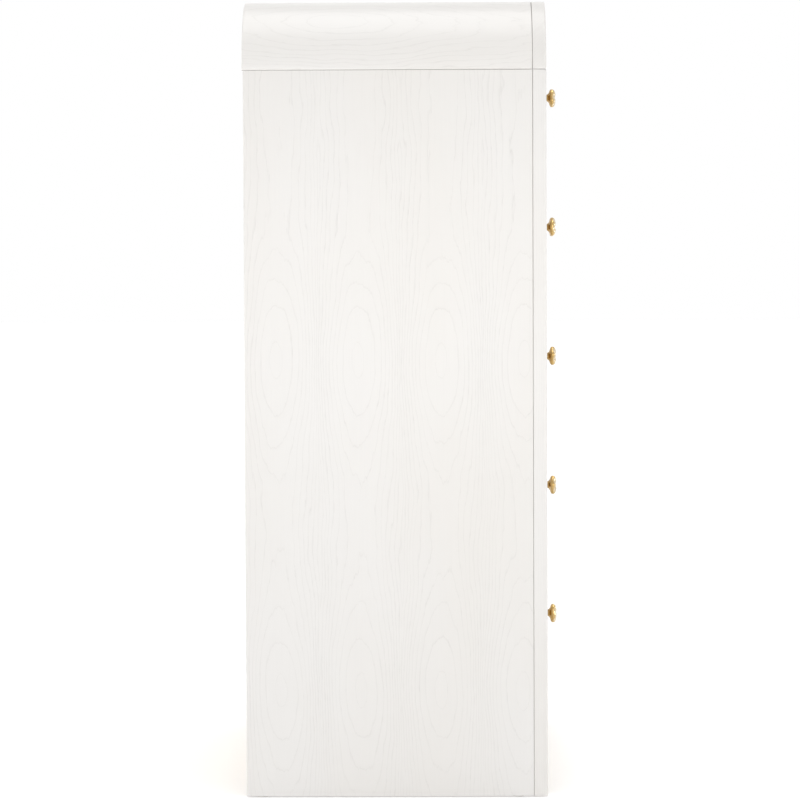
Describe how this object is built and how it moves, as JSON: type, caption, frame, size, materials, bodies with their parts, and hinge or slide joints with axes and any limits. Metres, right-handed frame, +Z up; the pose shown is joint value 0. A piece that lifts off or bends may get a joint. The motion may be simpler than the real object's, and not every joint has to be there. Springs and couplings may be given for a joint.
{
  "type": "tall chest of drawers",
  "caption": "Tall free-standing chest with rounded shoulders, a face frame and full-width inset drawers on ball-bearing slides, for storing clothes.",
  "frame": {"origin": "on the floor under the centre of the overall box, which includes the knobs", "axes": "+Z up, the drawers face -Y and open along -Y, +X to the right seen from the front"},
  "size_m": [0.965, 0.5024, 1.27],
  "materials": {
    "lacquered_ash": "off-white satin lacquer over open-grained ash veneer",
    "box_birch": "clear satin lacquer on birch",
    "knob_brass": "polished cast brass",
    "slide_zinc": "zinc-plated steel",
    "glide_nylon": "moulded nylon"
  },
  "bodies": {
    "case": {"side_panel_left": "lacquered_ash", "side_panel_right": "lacquered_ash", "shoulder_left": "lacquered_ash", "shoulder_right": "lacquered_ash", "top_panel": "lacquered_ash", "back_panel": "box_birch", "bottom_panel": "box_birch", "stile_left": "lacquered_ash", "stile_right": "lacquered_ash", "corner_left": "lacquered_ash", "corner_right": "lacquered_ash", "top_rail": "lacquered_ash", "drawer_rails": "lacquered_ash", "base_rail": "lacquered_ash", "rear_rails": "box_birch", "slide_cleats": "box_birch", "slide_channels": "slide_zinc", "floor_glides": "glide_nylon", "back_screws": "slide_zinc", "slide_screws": "slide_zinc"},
    "drawer_1": {"drawer_1_front": "lacquered_ash", "drawer_1_sides": "box_birch", "drawer_1_back": "box_birch", "drawer_1_bottom": "box_birch", "drawer_1_knobs": "knob_brass", "drawer_1_screws": "slide_zinc", "drawer_1_runners": "slide_zinc"},
    "middles_1": {"drawer_1_middles": "slide_zinc"},
    "drawer_2": {"drawer_2_front": "lacquered_ash", "drawer_2_sides": "box_birch", "drawer_2_back": "box_birch", "drawer_2_bottom": "box_birch", "drawer_2_knobs": "knob_brass", "drawer_2_screws": "slide_zinc", "drawer_2_runners": "slide_zinc"},
    "middles_2": {"drawer_2_middles": "slide_zinc"},
    "drawer_3": {"drawer_3_front": "lacquered_ash", "drawer_3_sides": "box_birch", "drawer_3_back": "box_birch", "drawer_3_bottom": "box_birch", "drawer_3_knobs": "knob_brass", "drawer_3_screws": "slide_zinc", "drawer_3_runners": "slide_zinc"},
    "middles_3": {"drawer_3_middles": "slide_zinc"},
    "drawer_4": {"drawer_4_front": "lacquered_ash", "drawer_4_sides": "box_birch", "drawer_4_back": "box_birch", "drawer_4_bottom": "box_birch", "drawer_4_knobs": "knob_brass", "drawer_4_screws": "slide_zinc", "drawer_4_runners": "slide_zinc"},
    "middles_4": {"drawer_4_middles": "slide_zinc"},
    "drawer_5": {"drawer_5_front": "lacquered_ash", "drawer_5_sides": "box_birch", "drawer_5_back": "box_birch", "drawer_5_bottom": "box_birch", "drawer_5_knobs": "knob_brass", "drawer_5_screws": "slide_zinc", "drawer_5_runners": "slide_zinc"},
    "middles_5": {"drawer_5_middles": "slide_zinc"}
  },
  "joints": [
    {"name": "drawer_1_slide", "type": "slide", "parent": "case", "child": "drawer_1", "axis": [0, -1, 0], "range_m": [0, 0.38]},
    {"name": "middles_1_slide", "type": "slide", "parent": "case", "child": "middles_1", "axis": [0, -1, 0], "range_m": [0, 0.19]},
    {"name": "drawer_2_slide", "type": "slide", "parent": "case", "child": "drawer_2", "axis": [0, -1, 0], "range_m": [0, 0.38]},
    {"name": "middles_2_slide", "type": "slide", "parent": "case", "child": "middles_2", "axis": [0, -1, 0], "range_m": [0, 0.19]},
    {"name": "drawer_3_slide", "type": "slide", "parent": "case", "child": "drawer_3", "axis": [0, -1, 0], "range_m": [0, 0.38]},
    {"name": "middles_3_slide", "type": "slide", "parent": "case", "child": "middles_3", "axis": [0, -1, 0], "range_m": [0, 0.19]},
    {"name": "drawer_4_slide", "type": "slide", "parent": "case", "child": "drawer_4", "axis": [0, -1, 0], "range_m": [0, 0.38]},
    {"name": "middles_4_slide", "type": "slide", "parent": "case", "child": "middles_4", "axis": [0, -1, 0], "range_m": [0, 0.19]},
    {"name": "drawer_5_slide", "type": "slide", "parent": "case", "child": "drawer_5", "axis": [0, -1, 0], "range_m": [0, 0.38]},
    {"name": "middles_5_slide", "type": "slide", "parent": "case", "child": "middles_5", "axis": [0, -1, 0], "range_m": [0, 0.19]}
  ],
  "couplings": [
    {"joint": "middles_1_slide", "follows": "drawer_1_slide", "ratio": 0.5},
    {"joint": "middles_2_slide", "follows": "drawer_2_slide", "ratio": 0.5},
    {"joint": "middles_3_slide", "follows": "drawer_3_slide", "ratio": 0.5},
    {"joint": "middles_4_slide", "follows": "drawer_4_slide", "ratio": 0.5},
    {"joint": "middles_5_slide", "follows": "drawer_5_slide", "ratio": 0.5}
  ]
}
